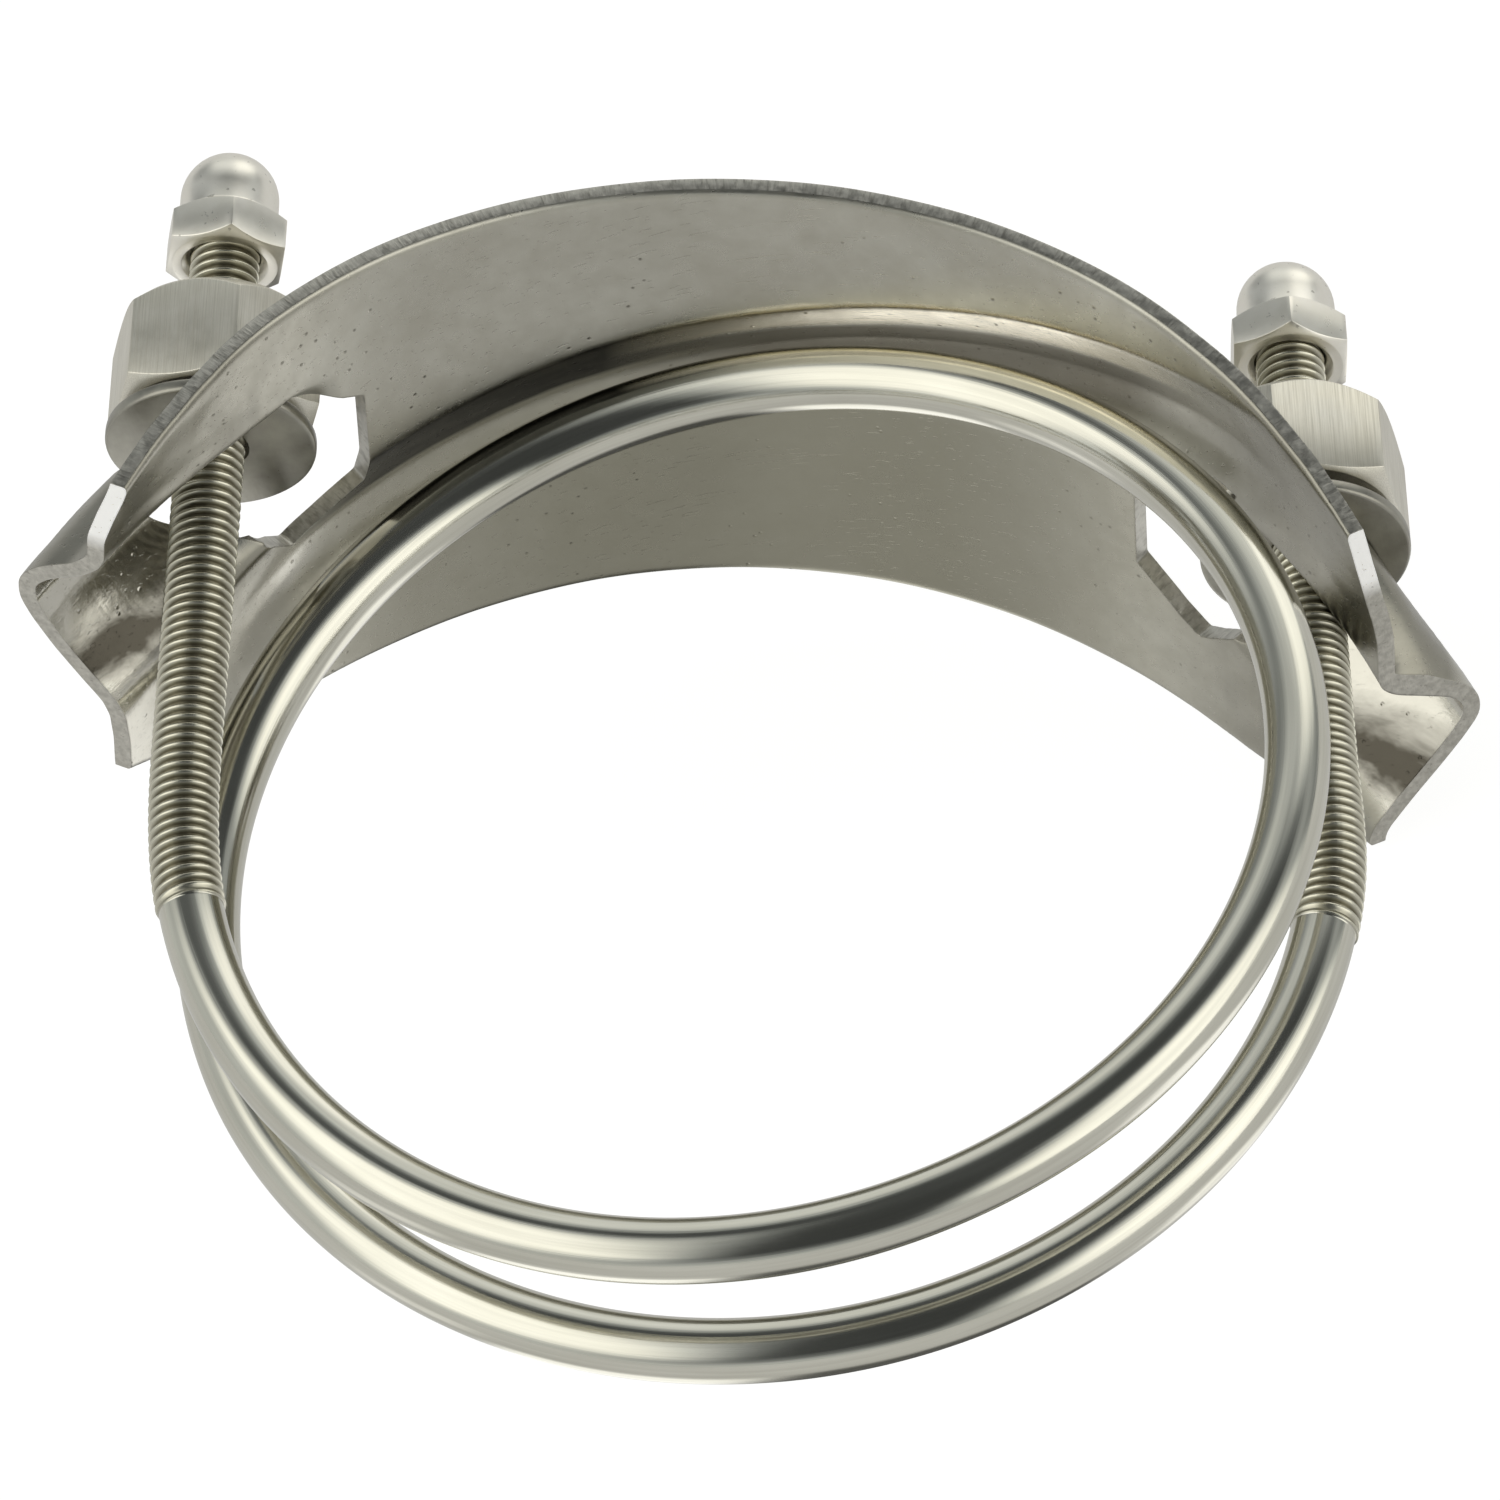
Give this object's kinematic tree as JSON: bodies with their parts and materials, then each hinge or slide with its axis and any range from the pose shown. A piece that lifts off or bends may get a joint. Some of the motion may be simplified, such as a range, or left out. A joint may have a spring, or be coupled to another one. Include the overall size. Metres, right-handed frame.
{
  "type": "spiral hose clamp",
  "caption": "Wound rod ring whose threaded ends pass through a curved pressed saddle and are drawn tight by nuts, to clamp a spiral hose onto a pipe stub.",
  "frame": {"origin": "centre of the assembly's bounding box; the hose axis runs parallel to Z and crosses the XY plane at x = 1.18 mm, y = -11.20 mm, with the ring's middle at z = 2.41 mm", "axes": "+Z along the hose axis, +Y from the ring's round side towards the saddle and the threaded ends, +X towards the lower stud"},
  "size_m": [0.158, 0.155, 0.0936],
  "materials": {
    "rod": "polished stainless rod with rolled threads at the ends",
    "saddle": "satin pressed stainless sheet with mirror-bright folds and cut edges",
    "nut": "satin brushed stainless, bright chamfers",
    "acorn": "satin stainless dome",
    "washer": "tumbled stainless"
  },
  "bodies": {
    "ring": {"clamp_rod": "rod"},
    "saddle": {"saddle": "saddle"},
    "washer_left": {"washer_left": "washer"},
    "nut_left": {"hex_nut_left": "nut"},
    "acorn_left": {"acorn_nut_left": "acorn"},
    "washer_right": {"washer_right": "washer"},
    "nut_right": {"hex_nut_right": "nut"},
    "acorn_right": {"acorn_nut_right": "acorn"}
  },
  "joints": [
    {"name": "saddle_slide", "type": "slide", "parent": "ring", "child": "saddle", "axis": [0, 1, 0], "range_m": [0, 0.008]},
    {"name": "washer_left_slide", "type": "slide", "parent": "ring", "child": "washer_left", "axis": [0.0668, 0.9965, 0.0508], "range_m": [0, 0.008]},
    {"name": "nut_left_turn", "type": "hinge", "parent": "washer_left", "child": "nut_left", "pos_m": [-0.05989, 0.0038, 0.01831], "axis": [0.0668, 0.9965, 0.0508], "range_deg": [0, 2310]},
    {"name": "acorn_left_lift", "type": "slide", "parent": "ring", "child": "acorn_left", "axis": [0.0668, 0.9965, 0.0508], "range_m": [0, 0.022]},
    {"name": "washer_right_slide", "type": "slide", "parent": "ring", "child": "washer_right", "axis": [-0.049, 0.9975, -0.0509], "range_m": [0, 0.008]},
    {"name": "nut_right_turn", "type": "hinge", "parent": "washer_right", "child": "nut_right", "pos_m": [0.06315, 0.0038, -0.01444], "axis": [-0.049, 0.9975, -0.0509], "range_deg": [0, 2310]},
    {"name": "acorn_right_lift", "type": "slide", "parent": "ring", "child": "acorn_right", "axis": [-0.049, 0.9975, -0.0509], "range_m": [0, 0.022]}
  ],
  "couplings": [
    {"joint": "washer_left_slide", "follows": "saddle_slide", "ratio": 1},
    {"joint": "nut_left_turn", "follows": "saddle_slide", "rad_per_m": 5026.5},
    {"joint": "washer_right_slide", "follows": "saddle_slide", "ratio": 1},
    {"joint": "nut_right_turn", "follows": "saddle_slide", "rad_per_m": 5026.5}
  ]
}
